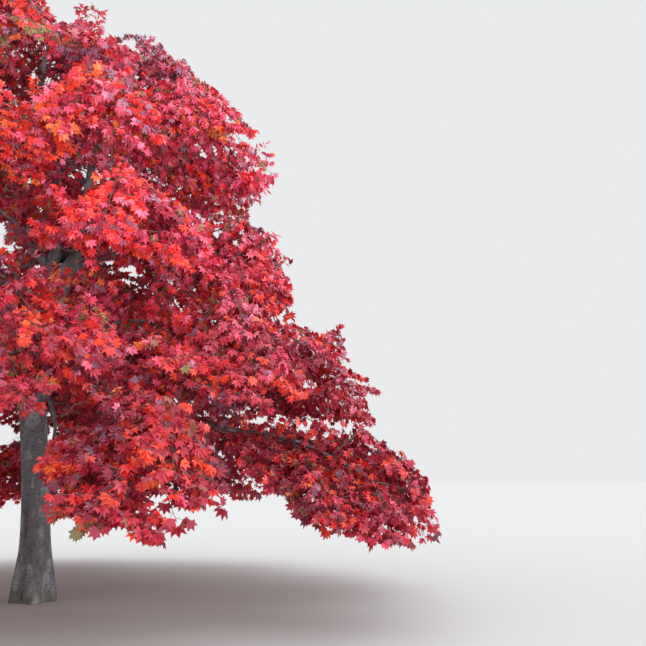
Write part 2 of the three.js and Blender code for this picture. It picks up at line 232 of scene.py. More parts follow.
def levels(points):
    # u² + v² + w² of each point in each space: 0 in its middle and 1 on its edge
    away = points[:, None] - allCentres
    u = (away * allOut).sum(-1) / allHalves[:, 0]
    v = (away * allSide).sum(-1) / (allHalves[:, 1] * widening(u))
    w = (away[..., 2] - fall(allDroops, u, v)) / allHalves[:, 2]
    return u * u + v * v + w * w


def pathLength(path):
    return np.linalg.norm(np.diff(path, axis=0), axis=1).sum()


def atShares(path, share):
    # Points at shares of a path's length
    steps = np.linalg.norm(np.diff(path, axis=0), axis=1)
    run = np.concatenate([[0], np.cumsum(steps)]) / steps.sum()
    return np.stack([np.interp(share, run, path[:, a]) for a in range(3)], -1)


def limbPath(root, rootHeading, tip, tipHeading, seed):
    # A cubic Bézier curve that wanders by sin(pi t) sin(turn) sideways and sin(pi t) cos(1.3 turn)
    # upright, where turn is 2 pi (1.4 t + phase)
    span = np.linalg.norm(tip - root)
    t = np.linspace(0, 1, limbShape["stops"])[:, None]
    held1 = root + rootHeading * limbShape["rootHold"] * span
    held2 = tip - tipHeading * limbShape["tipHold"] * span
    path = (1 - t) ** 3 * root + 3 * (1 - t) ** 2 * t * held1 + 3 * (1 - t) * t * t * held2 + t**3 * tip
    side = levelSide(tipHeading)
    held = np.sin(math.pi * t) * limbShape["wander"] * span
    turn = 2 * math.pi * (limbShape["turns"] * t + chance(seed, 1))
    path = path + side * held * np.sin(turn)
    path[:, 2:] += limbShape["upright"] * held * np.cos(limbShape["uprightRate"] * turn)
    return path


def trunkPath():
    t = np.linspace(0, 1, limbShape["stops"])
    return np.stack([trunk["lean"] * t * t, 0 * t, trunk["forkHeight"] * t], -1)


def limbRadius(tier, t):
    # tip + (root - tip) (1 - t) to the power 1.25
    rootRadius, tipRadius = tier["radii"]
    return tipRadius + (rootRadius - tipRadius) * (1 - t) ** limbShape["taper"]


def makeLimbs():
    # Each limb leaves the nearest carrier and ends where it enters its mass
    carriers = {"trunk": [{"azimuth": 0, "path": trunkPath()}]}
    for space in spaces:
        tier = space["tier"]
        choice = carriers[tier["carrier"]]
        turns = [abs((c["azimuth"] - space["azimuth"] + 900) % 360 - 180) for c in choice]
        carrier = choice[int(np.argmin(turns))]
        root = atShares(carrier["path"], lerp(*tier["leaveAt"], chance(space["limbSeed"], 2)))
        u, w = tier["entry"]
        tip = toWorld(space, u, 0.0, w)
        tipHeading = unit(toWorld(space, u + limbShape["aimOn"], 0.0, limbShape["aimLevel"] * w) - tip)
        rootHeading = unit((tip - root) * [1, 1, 0]) * math.cos(math.radians(tier["rootAngle"]))
        rootHeading[2] = math.sin(math.radians(tier["rootAngle"]))
        space["path"] = limbPath(root, rootHeading, tip, tipHeading, space["limbSeed"])
        space["limb"] = f'{tier["limb"]}_{space["node"].rsplit("_", 1)[1]}'
        carriers.setdefault(tier["limb"], []).append(space)


makeLimbs()
print("limbs laid out:", len(spaces))


# Meshes from arrays

def makePiece(name, points, faces, material, smooth=True):
    # faces is an array of triangles or of quads
    mesh = bpy.data.meshes.new(name)
    mesh.vertices.add(len(points))
    mesh.vertices.foreach_set("co", np.ascontiguousarray(points, np.float32).ravel())
    corners = faces.shape[1]
    mesh.loops.add(faces.size)
    mesh.loops.foreach_set("vertex_index", np.ascontiguousarray(faces, np.int32).ravel())
    mesh.polygons.add(len(faces))
    mesh.polygons.foreach_set("loop_start", np.arange(0, faces.size, corners, dtype=np.int32))
    mesh.polygons.foreach_set("use_smooth", np.full(len(faces), smooth))
    mesh.update(calc_edges=True)
    mesh.materials.append(material)
    piece = bpy.data.objects.new(name, mesh)
    scene.collection.objects.link(piece)
    return piece


def joined(parts):
    # Several (points, faces) as one
    starts = np.cumsum([0] + [len(points) for points, _ in parts[:-1]])
    points = np.concatenate([points for points, _ in parts])
    return points, np.concatenate([faces + start for start, (_, faces) in zip(starts, parts)])


def tubeFaces(rings, sides):
    # Triangles between neighbouring rings of points, and a flat fan over each end
    i, j = np.meshgrid(np.arange(rings - 1), np.arange(sides), indexing="ij")
    a, b = i * sides + j, i * sides + (j + 1) % sides
    wall = np.stack([a, b, b + sides, a, b + sides, a + sides], -1).reshape(-1, 3)
    turn = np.arange(1, sides - 1)
    last = (rings - 1) * sides
    foot = np.stack([turn + 1, turn, 0 * turn], -1)
    head = np.stack([turn, turn + 1, 0 * turn], -1) + last
    return np.concatenate([wall, foot, head])


def closedGrid(wall, ends):
    # A grid of rings, shaped (rings, sides, 3), with a fan to a point at each end
    rings, sides = wall.shape[:2]
    walls = tubeFaces(rings, sides)[: 2 * (rings - 1) * sides]
    turn = np.arange(sides)
    following = (turn + 1) % sides
    last = (rings - 1) * sides
    foot = np.stack([following, turn, np.full(sides, rings * sides)], -1)
    head = np.stack([last + turn, last + following, np.full(sides, rings * sides + 1)], -1)
    return np.concatenate([wall.reshape(-1, 3), ends]), np.concatenate([walls, foot, head])


def framesAlong(path, side):
    # The part of side that is square to paths shaped (..., stops, 3), and what is square to both
    ahead = np.concatenate([path[..., 1:2, :] - path[..., :1, :], path[..., 2:, :] - path[..., :-2, :],
                            path[..., -1:, :] - path[..., -2:-1, :]], -2)
    tangent = unit(ahead)
    across = unit(side - (side * tangent).sum(-1, keepdims=True) * tangent)
    return across, np.cross(tangent, across)


def ringAround(across, up, sides):
    # across cos a + up sin a, for each of a ring's sides
    a = (np.arange(sides) * 2 * math.pi / sides)[:, None]
    return across[..., None, :] * np.cos(a) + up[..., None, :] * np.sin(a)


def tubes(paths, ends, sides):
    # path + radius (across cos a + up sin a), for many paths at once, narrowing evenly from end to end
    side = unit(np.cross(paths[:, -1] - paths[:, 0], nearlyUp))[:, None]
    across, up = framesAlong(paths, side)
    radii = np.linspace(*ends, paths.shape[1])[None, :, None, None]
    wall = paths[:, :, None] + ringAround(across, up, sides) * radii
    count, stops = paths.shape[:2]
    points = wall.reshape(count, -1, 3)
    faces = tubeFaces(stops, sides)
    shift = np.arange(count)[:, None, None] * points.shape[1]
    return points.reshape(-1, 3), (faces[None] + shift).reshape(-1, 3)


nextRow = 61  # from a pattern's row to the next, in a seed's numbers


def patches(x, y, across, seed):
    # Heights from -1 to 1 dealt to whole numbers and eased between by 3 f² - 2 f³, x repeating
    xi, yi = np.floor(x), np.floor(y)
    fx, fy = x - xi, y - yi
    fx, fy = fx * fx * (3 - 2 * fx), fy * fy * (3 - 2 * fy)

    def corner(i, j):
        return swing(np.mod(i, across) + nextRow * j, seed)

    low = lerp(corner(xi, yi), corner(xi + 1, yi), fx)
    high = lerp(corner(xi, yi + 1), corner(xi + 1, yi + 1), fx)
    return lerp(low, high, fy)


# Bark

bark = {
    "trunkSides": 132,
    "trunkRings": 300,
    "limbSides": 26,
    "limbStep": 0.022,  # metres between a limb's rings
    "fewestRings": 12,
    "flute": 0.011,  # broad upright swellings, metres in or out
    "flutes": ((6, 0.9), (13, 2.1)),  # number in a turn and in a metre up, broad and narrow
    "narrowFlute": 0.5,  # of the broad ones' depth
    "furrow": 0.0035,  # upright cracks
    "furrows": (28, 8, 4.5),  # number in a metre round, the fewest, number in a metre up
    "furrowEdge": 7,
    "grain": 0.0011,  # fine upright cracks
    "grains": (90, 12, 22),
    "crease": 0.0012,  # level ones
    "creases": (7, 38),
    "limbGirth": 0.3,
    "finer": 0.8,  # the power of a limb's radius by which its relief is finer than the trunk's
    "collar": 0.5,  # how much wider a limb is where it leaves
    "collarLength": 0.1,
    "grey": (0.2, 0.198, 0.212),
    "pale": (0.37, 0.38, 0.405),
    "dark": (0.075, 0.07, 0.074),
    "moss": (0.135, 0.15, 0.085),
    "tones": ((0.3, "dark"), (0.43, "grey"), (0.52, "grey"), (0.63, "pale")),
    "mottle": (9, 8, (1, 1, 0.45)),  # scale, detail and stretch
    "specks": (34, 3, (1, 1, 2.6)),
    "clumps": (6, 4, (1, 1, 1)),
    "pores": (85, 5, (1, 1, 0.3)),
    "speckTones": ((0.37, 0.85), (0.44, 0)),
    "dampTones": ((0.0, 0.75), (0.35, 0.3), (1.0, 0)),  # by metres above the ground
    "clumpTones": ((0.4, 0), (0.62, 1)),
    "poreStrength": 0.5,
    "poreDepth": 0.004,
    "roughness": 0.82,
    "shine": 0.25,
}


def relief(turn, rise, girth, seed):
    # Flutes, cracks where a pattern crosses zero, grain and creases, for a turn from 0 to 1
    def layer(k, around, upward):
        return patches(turn * around, rise * upward, around, seed + k)

    def finerLayer(k, perMetre, fewest, upward):
        return layer(k, max(fewest, round(girth * perMetre)), upward)

    broad, narrow = bark["flutes"]
    flutes = layer(0, *broad) + bark["narrowFlute"] * layer(1, *narrow)
    furrows = -np.exp(-bark["furrowEdge"] * np.abs(finerLayer(2, *bark["furrows"])))
    grain = finerLayer(3, *bark["grains"])
    creases = layer(4, *bark["creases"])
    return (bark["flute"] * flutes + bark["furrow"] * furrows + bark["grain"] * grain
            + bark["crease"] * creases)


def trunkMesh():
    # Radius (taper + flare exp(-(z / height)²)) (1 + lobes cos 5a) + relief, about a leaning line
    fork, blunt, sides = trunk["forkHeight"], trunk["bluntHeight"], bark["trunkSides"]
    top = fork + blunt
    z = np.linspace(0, top, bark["trunkRings"])[:, None]
    a = (np.arange(sides) * 2 * math.pi / sides)[None]
    share = z / fork
    radius = lerp(trunk["footRadius"], trunk["forkRadius"], share)
    radius = radius + trunk["flareSpread"] * np.exp(-((z / trunk["flareHeight"]) ** 2))
    lobe = 1 + trunk["lobeDepth"] * np.exp(-z / trunk["lobeHeight"]) * np.cos(trunk["rootLobes"] * a)
    rough = relief(a / (2 * math.pi) + 0 * z, z + 0 * a, trunk["girth"], trunk["seed"])
    radius = radius * lobe + rough
    past = np.clip((z - fork + blunt) / (2 * blunt), 0, 1)
    radius = radius * np.sqrt(1 - trunk["blunting"] * past**2)
    x = trunk["lean"] * share**2 + radius * np.cos(a)
    y = radius * np.sin(a)
    ends = [[0, 0, 0], [trunk["lean"] * (top / fork) ** 2, 0, top]]
    return closedGrid(np.stack([x, y, z + 0 * a], -1), ends)


def limbMesh(space):
    # path + (radius + relief) around it, with a collar where it leaves its carrier
    sides = bark["limbSides"]
    length = pathLength(space["path"])
    rings = max(bark["fewestRings"], round(length / bark["limbStep"]))
    share = np.linspace(0, 1, rings)
    path = atShares(space["path"], share)
    across, up = framesAlong(path, levelSide(path[-1] - path[0]))
    run = share[:, None] * length
    turn = (np.arange(sides) * 2 * math.pi / sides)[None] / (2 * math.pi)
    radius = limbRadius(space["tier"], share)[:, None]
    radius = radius * (1 + bark["collar"] * np.exp(-((run / bark["collarLength"]) ** 2)))
    rough = relief(turn + 0 * run, run + 0 * turn, bark["limbGirth"], space["limbSeed"])
    finer = np.minimum(1, radius / trunk["forkRadius"]) ** bark["finer"]
    wall = path[:, None] + ringAround(across, up, sides) * (radius + rough * finer)[..., None]
    return closedGrid(wall, path[[0, -1]])


def newMaterial(name):
    material = bpy.data.materials.new(name)
    material.use_nodes = True
    nodes, links = material.node_tree.nodes, material.node_tree.links
    return material, nodes, links, nodes["Principled BSDF"]


def rampOf(nodes, links, source, stops):
    # The source through a colour ramp, whose stops are colours or greys
    ramp = nodes.new("ShaderNodeValToRGB")
    while len(ramp.color_ramp.elements) < len(stops):
        ramp.color_ramp.elements.new(0.5)
    for element, (place, tone) in zip(ramp.color_ramp.elements, stops):
        element.position = place
        element.color = (*(tone if isinstance(tone, tuple) else (tone, tone, tone)), 1)
    links.new(source, ramp.inputs["Fac"])
    return ramp.outputs["Color"]


def noiseOf(nodes, links, coordinates, scale, detail, stretch):
    mapping = nodes.new("ShaderNodeMapping")
    mapping.inputs["Scale"].default_value = stretch
    links.new(coordinates.outputs["Object"], mapping.inputs["Vector"])
    noise = nodes.new("ShaderNodeTexNoise")
    noise.inputs["Scale"].default_value = scale
    noise.inputs["Detail"].default_value = detail
    links.new(mapping.outputs["Vector"], noise.inputs["Vector"])
    return noise.outputs["Fac"]


def mixedWith(nodes, links, share, first, colour):
    mix = nodes.new("ShaderNodeMix")
    mix.data_type = "RGBA"
    links.new(share, mix.inputs["Factor"])
    links.new(first, mix.inputs["A"])
    mix.inputs["B"].default_value = (*colour, 1)
    return mix.outputs["Result"]


def barkMaterial():
    # Grey bark with pale patches and short dark level dashes, greener towards the ground
    material, nodes, links, surface = newMaterial("maple_bark")
    place = nodes.new("ShaderNodeTexCoord")
    tones = [(share, bark[tone]) for share, tone in bark["tones"]]
    mottled = rampOf(nodes, links, noiseOf(nodes, links, place, *bark["mottle"]), tones)
    specks = rampOf(nodes, links, noiseOf(nodes, links, place, *bark["specks"]), bark["speckTones"])
    speckled = mixedWith(nodes, links, specks, mottled, bark["dark"])
    parts = nodes.new("ShaderNodeSeparateXYZ")
    links.new(place.outputs["Object"], parts.inputs["Vector"])
    damp = rampOf(nodes, links, parts.outputs["Z"], bark["dampTones"])
    clumps = rampOf(nodes, links, noiseOf(nodes, links, place, *bark["clumps"]), bark["clumpTones"])
    mossy = nodes.new("ShaderNodeMath")
    mossy.operation = "MULTIPLY"
    links.new(damp, mossy.inputs[0])
    links.new(clumps, mossy.inputs[1])
    colour = mixedWith(nodes, links, mossy.outputs[0], speckled, bark["moss"])
    links.new(colour, surface.inputs["Base Color"])
    surface.inputs["Roughness"].default_value = bark["roughness"]
    surface.inputs["Specular IOR Level"].default_value = bark["shine"]
    bump = nodes.new("ShaderNodeBump")
    bump.inputs["Strength"].default_value = bark["poreStrength"]
    bump.inputs["Distance"].default_value = bark["poreDepth"]
    links.new(noiseOf(nodes, links, place, *bark["pores"]), bump.inputs["Height"])
    links.new(bump.outputs["Normal"], surface.inputs["Normal"])
    return material


maple = barkMaterial()
trunkPiece = makePiece("trunk_bark", *trunkMesh(), maple)
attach(trunkPiece, "root")
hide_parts("trunk")
for tier in tiers:
    limbs = [space for space in spaces if space["tier"] is tier]
    boughPiece = makePiece(tier["limb"] + "_bark", *joined([limbMesh(space) for space in limbs]), maple)
    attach(boughPiece, "root")
    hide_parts(*[space["limb"] for space in limbs])
print("trunk and boughs covered in bark")


# Sprays: the stem of each mass, its side twigs and the sprays that they carry

twigs = {
    "stemFrom": 0.99,  # of the limb's length
    "stemEnd": 0.42,  # in u
    "stemStops": 25,
    "stemRadii": (0.02, 0.009),
    "stemSides": 10,
    "apart": 0.03,  # between the two twigs of a pair
    "advance": 0.36,
    "rootAdvance": 0.12,  # the same at the stem's start
    "fullFrom": 0.4,
    "spread": 0.38,
    "rise": 0.5,
    "uneven": 0.15,
    "highPairsAt": [0.02, 0.34, 0.66, 0.94],  # between the tier's own, near a space's top and bottom
    "highRise": 0.72,
    "levelPairsAt": [0.1, 0.4, 0.97],  # and near its middle
    "levelRise": 0.2,
    "fineReach": 0.8,
    "clothedFrom": 0.3,
    "clothedRolls": (0.5, -0.9),  # radians
    "bow": 0.07,  # how far a side twig bows outward and up, in its length
    "bowUp": 0.6,
    "sideRadii": (0.009, 0.0045),
    "sideStops": 8,
    "sideSides": 6,
    "sprayRadii": (0.0065, 0.0022),
    "sprayStops": 6,
    "spraySides": 3,
    "twigletRadius": 0.0028,
    "tones": ((0.35, (0.1, 0.05, 0.045)), (0.55, (0.17, 0.12, 0.1)), (0.7, (0.27, 0.25, 0.22))),
    "mottle": (7, 3, (1, 1, 1)),
    "roughness": 0.7,
}
blade = {  # the kite that a spray fills
    "reach": 0.78,  # in a mass's half sizes
    "fits": [1, 0.88, 0.76, 0.64],  # tried in turn
    "lifts": [0, 0.24, -0.24],
    "width": 0.6,  # of its length
    "waist": 0.5,
    "fan": 66,  # degrees
    "turnedBack": 80,
    "stray": 12,
    "flatten": 0.45,
    "hang": 0.12,
    "sway": 0.16,
    "roll": 34,
    "cellMargin": 0.04,
    "limbMargin": 0.04,
    "boxMargin": 0.04,
}
limbEndFrom = 0.9  # sprays may touch their own limb past this share of its length
limbStops = np.linspace(0, 1, 41)
limbPoints = np.concatenate([atShares(s["path"], limbStops) for s in spaces])
limbRadii = np.concatenate([limbRadius(s["tier"], limbStops) for s in spaces])
limbOwners = np.repeat(np.arange(len(spaces)), len(limbStops))
limbEnds = np.tile(limbStops > limbEndFrom, len(spaces))
massBoxes = [np.array(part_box(space["node"])) for space in spaces]


def inBox(points, index, margin):
    low, high = massBoxes[index]
    return ((points > low - margin) & (points < high + margin)).all(-1)


def awayFrom(points, counted, margin):
    # Whether each point is further than the margin from the limbs that are counted
    away = np.linalg.norm(points[..., None, :] - limbPoints[counted], axis=-1)
    return (away > limbRadii[counted] + margin).all(-1)


def hasRoom(points, index):
    # Inside its own space by more than any other, and away from every limb but its own one's end
    level = levels(points)
    own = level[:, index]
    others = np.delete(level, index, 1)
    if not ((own < 1) & (others > own[:, None] + blade["cellMargin"]).all(1)).all():
        return False
    counted = ~((limbOwners == index) & limbEnds)
    return awayFrom(points, counted, blade["limbMargin"]).all()


def turnedAbout(v, axis, angle):
    # v cos a + (axis × v) sin a, for v square to the axis
    return v * math.cos(angle) + np.cross(axis, v) * math.sin(angle)


def growSprays(index):
    # A mass's stem, its side twigs and the sprays (root, tip, across, mass, seed) that they carry
    space = spaces[index]
    seed = space["seed"]
    entryU, entryW = space["tier"]["entry"]
    near = atShares(space["path"], twigs["stemFrom"])
    middle = toWorld(space, lerp(entryU, twigs["stemEnd"], 0.5), 0.0, entryW * 0.5)
    end = toWorld(space, twigs["stemEnd"], 0.0, 0.0)
    t = np.linspace(0, 1, twigs["stemStops"])[:, None]
    # The curve through three points whose middle one has the tangent from first to last
    stem = near + t * (end - near) + 4 * t * (1 - t) * (middle - (near + end) / 2)
    sprays, sides = [], []
    count = 0

    def addSpray(u, v, w, root, azimuth, size):
        # The longest kite that fits, level, lifted or lowered, or none
        nonlocal count
        count += 1
        way = heading(azimuth + blade["stray"] * swing(seed, count))
        tipW = blade["flatten"] * w - blade["hang"] + blade["sway"] * swing(seed, count + 20)
        roll = math.radians(blade["roll"] * swing(seed, count + 40))
        for fit in blade["fits"]:
            reach = fit * blade["reach"] * size
            for lift in blade["lifts"]:
                tip = toWorld(space, u + reach * way[0], v + reach * way[1], lerp(w, tipW + lift, fit))
                along = tip - root
                length = np.linalg.norm(along)
                across = turnedAbout(levelSide(along), along / length, roll)
                waist = root + along * blade["waist"]
                edge = across * length * blade["width"] / 2
                corners = np.stack([tip, waist + edge, waist - edge])
                if inBox(tip, index, blade["boxMargin"]) and hasRoom(corners, index):
                    sprays.append((root, tip, across, index, seed * 100 + count))
                    return

    def addAlong(root, tip):
        # A narrow spray clothes the outer part of a side twig, leaning to one side or the other
        start = lerp(root, tip, twigs["clothedFrom"])
        way = unit(tip - root)
        roll = twigs["clothedRolls"][len(sides) % 2]
        across = turnedAbout(unit(np.cross(way, nearlyUp)), way, roll)
        sprays.append((start, tip, across, index, seed * 100 - 10 - len(sides)))

    def fanOut(u, v, w, root, azimuth, size):
        for turn in (0, blade["fan"], -blade["fan"]):
            addSpray(u, v, w, root, azimuth + turn, size)

    def growSide(along, hand, rise, size):
        # One side twig, with a spray back from its middle and three from its tip
        nonlocal count
        count += 1
        u = lerp(entryU, twigs["stemEnd"], along)
        root = atShares(stem, along + hand * twigs["apart"])
        longer = size * (1 + twigs["uneven"] * swing(seed, count + 60))
        fullness = min(1, along / twigs["fullFrom"])
        advance = longer * lerp(twigs["rootAdvance"], twigs["advance"], fullness)
        spread = hand * longer * twigs["spread"]
        to = (u + advance, spread, rise)
        tip = toWorld(space, *to)
        half = (root + tip) / 2
        if not (inBox(tip, index, 0) and hasRoom(np.stack([half, tip]), index)):
            return
        sides.append((root, tip, space["out"]))
        addAlong(root, tip)
        azimuth = math.degrees(math.atan2(spread, advance))
        back = azimuth + hand * blade["turnedBack"]
        addSpray(lerp(u, to[0], 0.5), to[1] / 2, to[2] / 2, half, back, size)
        fanOut(*to, tip, azimuth, size)

    for number, roll in enumerate(twigs["clothedRolls"]):
        across = space["side"] * math.cos(roll) + nearlyUp * math.sin(roll)
        sprays.append((near, end, unit(across), index, seed * 100 - number))
    fanOut(twigs["stemEnd"], 0.0, 0.0, end, 0.0, 1)
    high = 1 if chance(seed, 90) > 0.5 else -1
    for pairs, rise, size in (
        (space["tier"]["pairsAt"], twigs["rise"], 1),
        (twigs["highPairsAt"], twigs["highRise"], twigs["fineReach"]),
        (twigs["levelPairsAt"], twigs["levelRise"], twigs["fineReach"]),
    ):
        for along in pairs:
            for hand in (1, -1):
                high = -high
                growSide(along, hand, high * rise, size)
    return stem, sides, sprays


shoots = {  # short sprays straight off the limbs
    "every": 0.16,  # metres
    "from": 0.3,  # of the limb's length
    "to": 0.97,
    "length": 0.66,
    "lengthVaries": 0.25,
    "forward": 0.6,
    "sideways": 0.8,
    "rise": 0.85,
    "upward": 0.75,
    "hang": 0.16,
    "firstSeed": 5000,
}


def offLimb(space, share, j):
    # A point of a limb, its tangent there and the level way to its left or right in turn
    root, ahead = (atShares(space["path"], share + past) for past in (0, limbShape["ahead"]))
    tangent = unit(ahead - root)
    return root, tangent, unit(np.cross(tangent, nearlyUp)) * (1 if j % 2 else -1)


def growShoots(index):
    # To one side and the other in turn, up and down by a number of their own
    space = spaces[index]
    found = []
    every = shoots["every"] / pathLength(space["path"])
    for j, share in enumerate(np.arange(shoots["from"], shoots["to"], every)):
        root, tangent, side = offLimb(space, share, j)
        seed = shoots["firstSeed"] + 60 * index + j
        lift = np.array([0, 0, shoots["rise"] * (shoots["upward"] + swing(seed, 1))])
        way = unit(shoots["forward"] * tangent + shoots["sideways"] * side + lift)
        reach = shoots["length"] * (1 + shoots["lengthVaries"] * swing(seed, 2))
        tip = root + way * reach - [0, 0, shoots["hang"] * reach]
        if awayFrom(tip, limbOwners != index, blade["limbMargin"]):
            found.append((root, tip, unit(np.cross(way, nearlyUp)), index, seed))
    return found


bare = {  # crooked leafless twigs in the crown's hollows
    "perLimb": 4,
    "from": 0.26,
    "to": 0.9,
    "length": 0.72,
    "lengthVaries": 0.3,
    "stops": 10,
    "forward": 0.5,
    "sideways": 0.7,
    "rise": 0.35,
    "hang": 0.3,
    "crook": 0.045,
    "waves": (1.3, 2.2),  # in its length, level and upright
    "forksAt": (0.3, 0.5, 0.68, 0.84),
    "forkLength": 0.42,
    "forkShortens": 0.5,
    "forkSideways": 0.9,
    "forkStops": 6,
    "radii": (0.0065, 0.002),
    "sides": 5,
    "forkRadii": (0.0035, 0.0012),
    "forkSides": 3,
    "colour": (0.3, 0.285, 0.27),
    "roughness": 0.75,
    "firstSeed": 9000,
}


def crooked(root, way, length, seed, stops):
    # root + way t, hanging by t² and wandering by sin(2 pi (n t + phase)) - sin(2 pi phase) both ways
    t = np.linspace(0, 1, stops)[:, None]
    side = unit(np.cross(way, nearlyUp))

    def wave(number, phase):
        return np.sin(2 * math.pi * (number * t + phase)) - math.sin(2 * math.pi * phase)

    level, upright = (wave(n, chance(seed, k)) for n, k in zip(bare["waves"], (3, 4)))
    wander = bare["crook"] * (level * side + upright * np.cross(side, way))
    return root + length * (t * way + wander - bare["hang"] * t * t * np.array([0, 0, 1]))


def growBare():
    # Main twigs to both sides of the limbs, each with forks to both of its sides
    mains, forks = [], []
    for index, space in enumerate(spaces):
        for j in range(bare["perLimb"]):
            seed = bare["firstSeed"] + 10 * index + j
            share = lerp(bare["from"], bare["to"], (j + chance(seed, 5)) / bare["perLimb"])
            root, tangent, side = offLimb(space, share, j)
            way = unit(bare["forward"] * tangent + bare["sideways"] * side
                       + np.array([0, 0, bare["rise"] * swing(seed, 6)]))
            length = bare["length"] * (1 + bare["lengthVaries"] * swing(seed, 7))
            path = crooked(root, way, length, seed, bare["stops"])
            if not awayFrom(path[2:], limbOwners != index, blade["limbMargin"]).all():
                continue
            mains.append(path)
            right = unit(np.cross(way, nearlyUp))
            for k, along in enumerate(bare["forksAt"]):
                hand = 1 if k % 2 else -1
                off = unit(unit(path[-1] - root) + hand * bare["forkSideways"] * right)
                length = bare["length"] * bare["forkLength"] * (1 - bare["forkShortens"] * along)
                forks.append(crooked(atShares(path, along), off, length, seed + 0.1 * k, bare["forkStops"]))
    return np.array(mains), np.array(forks)


grown = [growSprays(i) for i in range(len(spaces))]
stems = np.array([stem[::2] for stem, _, _ in grown])
sideTwigs = np.array([twig for _, sides, _ in grown for twig in sides])
sideOut = sideTwigs[:, 2] + [0, 0, twigs["bowUp"]]
sprays = [spray for _, _, found in grown for spray in found]
inMasses = len(sprays)
sprays += [spray for i in range(len(spaces)) for spray in growShoots(i)]
sprayRoot, sprayTip, sprayAcross = (np.array([s[k] for s in sprays]) for k in range(3))
spraySpace, spraySeed = (np.array([s[k] for s in sprays]) for k in (3, 4))
print("side twigs:", len(sideTwigs), "sprays:", inMasses, "and", len(sprays) - inMasses, "on limbs")


# Finer twigs and leaves

spray = {
    "pairEvery": 0.15,  # metres between pairs of twiglets
    "mostPairs": 9,
    "first": 0.55,  # of that distance
    "everyVaries": 0.22,
    "lastBefore": 0.99,
    "arch": 0.06,  # how far its middle stands up, in its length
    "angle": 50,  # degrees between a twiglet and its spray
    "angleVaries": 9,
    "lift": 0.3,
    "fullness": 0.75,  # under 1, the outline bulges between root, waist and tip
    "sizeVaries": 0.15,
    "twigletHang": 0.12,
    "shortest": 0.1,
}
leaf = {
    "every": 0.062,  # metres between pairs along a twiglet
    "everyVaries": 0.3,
    "first": 0.05,
    "mostPairs": 8,
    "length": 0.074,
    "lengthVaries": 0.22,
    "forward": 0.45,
    "sideways": 0.6,
    "down": 0.62,
    "loose": 0.42,
    "faceUp": 0.45,
    "faceOut": 0.75,
    "faceLoose": 0.52,
    "curl": (0.2, 1.7),
    "roughness": 0.38,
    "shine": 0.7,
    "limbGap": 0.03,
    "boxMargin": 0.02,
    "nearby": 2.4,  # metres each way from a mass's middle in which limbs count
}
# The outline of half a leaf: degrees from its middle lobe, reach and height of each lobe and notch
leafOutline = [(0, 1.0, -0.16), (20, 0.58, 0.03), (41, 0.92, -0.14), (63, 0.54, 0.03), (88, 0.68, -0.1)]
leafFoot = -0.16
hands = np.array([1, -1])[None, None, :]  # to a twig's two sides


def leafTemplate():
    # The foot, then the outline from one basal lobe round to the other
    right = np.array(leafOutline[::-1])
    left = np.array(leafOutline[1:]) * [-1, 1, 1]
    angle, reach, height = np.concatenate([right, left]).T
    a = np.radians(angle)
    points = np.stack([reach * np.sin(a), reach * np.cos(a), height], -1)
    points = np.concatenate([[[0, leafFoot, 0]], points])
    i = np.arange(1, len(points) - 1)
    return points, np.stack([0 * i, i + 1, i], -1)


def growTwiglets():
    # Opposite pairs along each spray, as long as its kite is wide there
    along = sprayTip - sprayRoot
    length = np.linalg.norm(along, axis=1)
    ahead = along / length[:, None]
    up = np.cross(ahead, sprayAcross)
    up = up * np.sign(up[:, 2:])
    n = spray["mostPairs"]
    pairs = np.clip(np.round(length / spray["pairEvery"]), 2, n)[:, None, None]
    step = np.arange(n)[None, :, None]
    shape = (len(length), n, 2)
    s = (step + spray["first"] + spray["everyVaries"] * rng.uniform(-1, 1, shape)) / pairs
    used = (step < pairs) & (s < spray["lastBefore"])
    arch = 4 * s * (1 - s) * spray["arch"]
    root = (sprayRoot[:, None, None] + s[..., None] * along[:, None, None]
            + (arch * length[:, None, None])[..., None] * [0, 0, 1])
    angle = np.radians(spray["angle"] + spray["angleVaries"] * rng.uniform(-1, 1, shape))[..., None]
    lift = spray["lift"] * rng.uniform(-1, 1, shape)[..., None]
    way = unit(np.cos(angle) * ahead[:, None, None]
               + np.sin(angle) * hands[..., None] * sprayAcross[:, None, None] + lift * up[:, None, None])
    waist = blade["waist"]
    kite = np.where(s < waist, s / waist, np.maximum(0, 1 - s) / (1 - waist)) ** spray["fullness"]
    size = blade["width"] / 2 * length[:, None, None] * kite / np.sin(angle[..., 0])
    size = np.maximum(size * (1 + spray["sizeVaries"] * rng.uniform(-1, 1, shape)), spray["shortest"])
    tip = root + way * size[..., None] - [0, 0, 1] * (spray["twigletHang"] * size)[..., None]
    owner = np.broadcast_to(np.arange(len(length))[:, None, None], shape)
    return root[used], tip[used], owner[used], size[used]


def growLeaves(root, tip, size):
    # Opposite pairs along each twiglet, and one leaf at its end
    n = leaf["mostPairs"]
    count = len(size)
    step = np.arange(n)[None, :, None]
    shape = (count, n, 2)
    run = leaf["first"] + leaf["every"] * (step + leaf["everyVaries"] * rng.uniform(-1, 1, shape))
    used = run < size[:, None, None]
    share = run / size[:, None, None]
    way = unit(tip - root)
    side = unit(np.cross(way, nearlyUp))
    place = root[:, None, None] + share[..., None] * (tip - root)[:, None, None]
    sideways = leaf["sideways"] * hands[..., None] * side[:, None, None]
    forward = np.broadcast_to(leaf["forward"] * way[:, None, None] + sideways, (*shape, 3))
    number = np.arange(count)
    numbers = np.broadcast_to(number[:, None, None], shape)
    ends = leaf["forward"] * 2 * way
    return (np.concatenate([place[used], tip]), np.concatenate([forward[used], ends]),
            np.concatenate([numbers[used], number]))


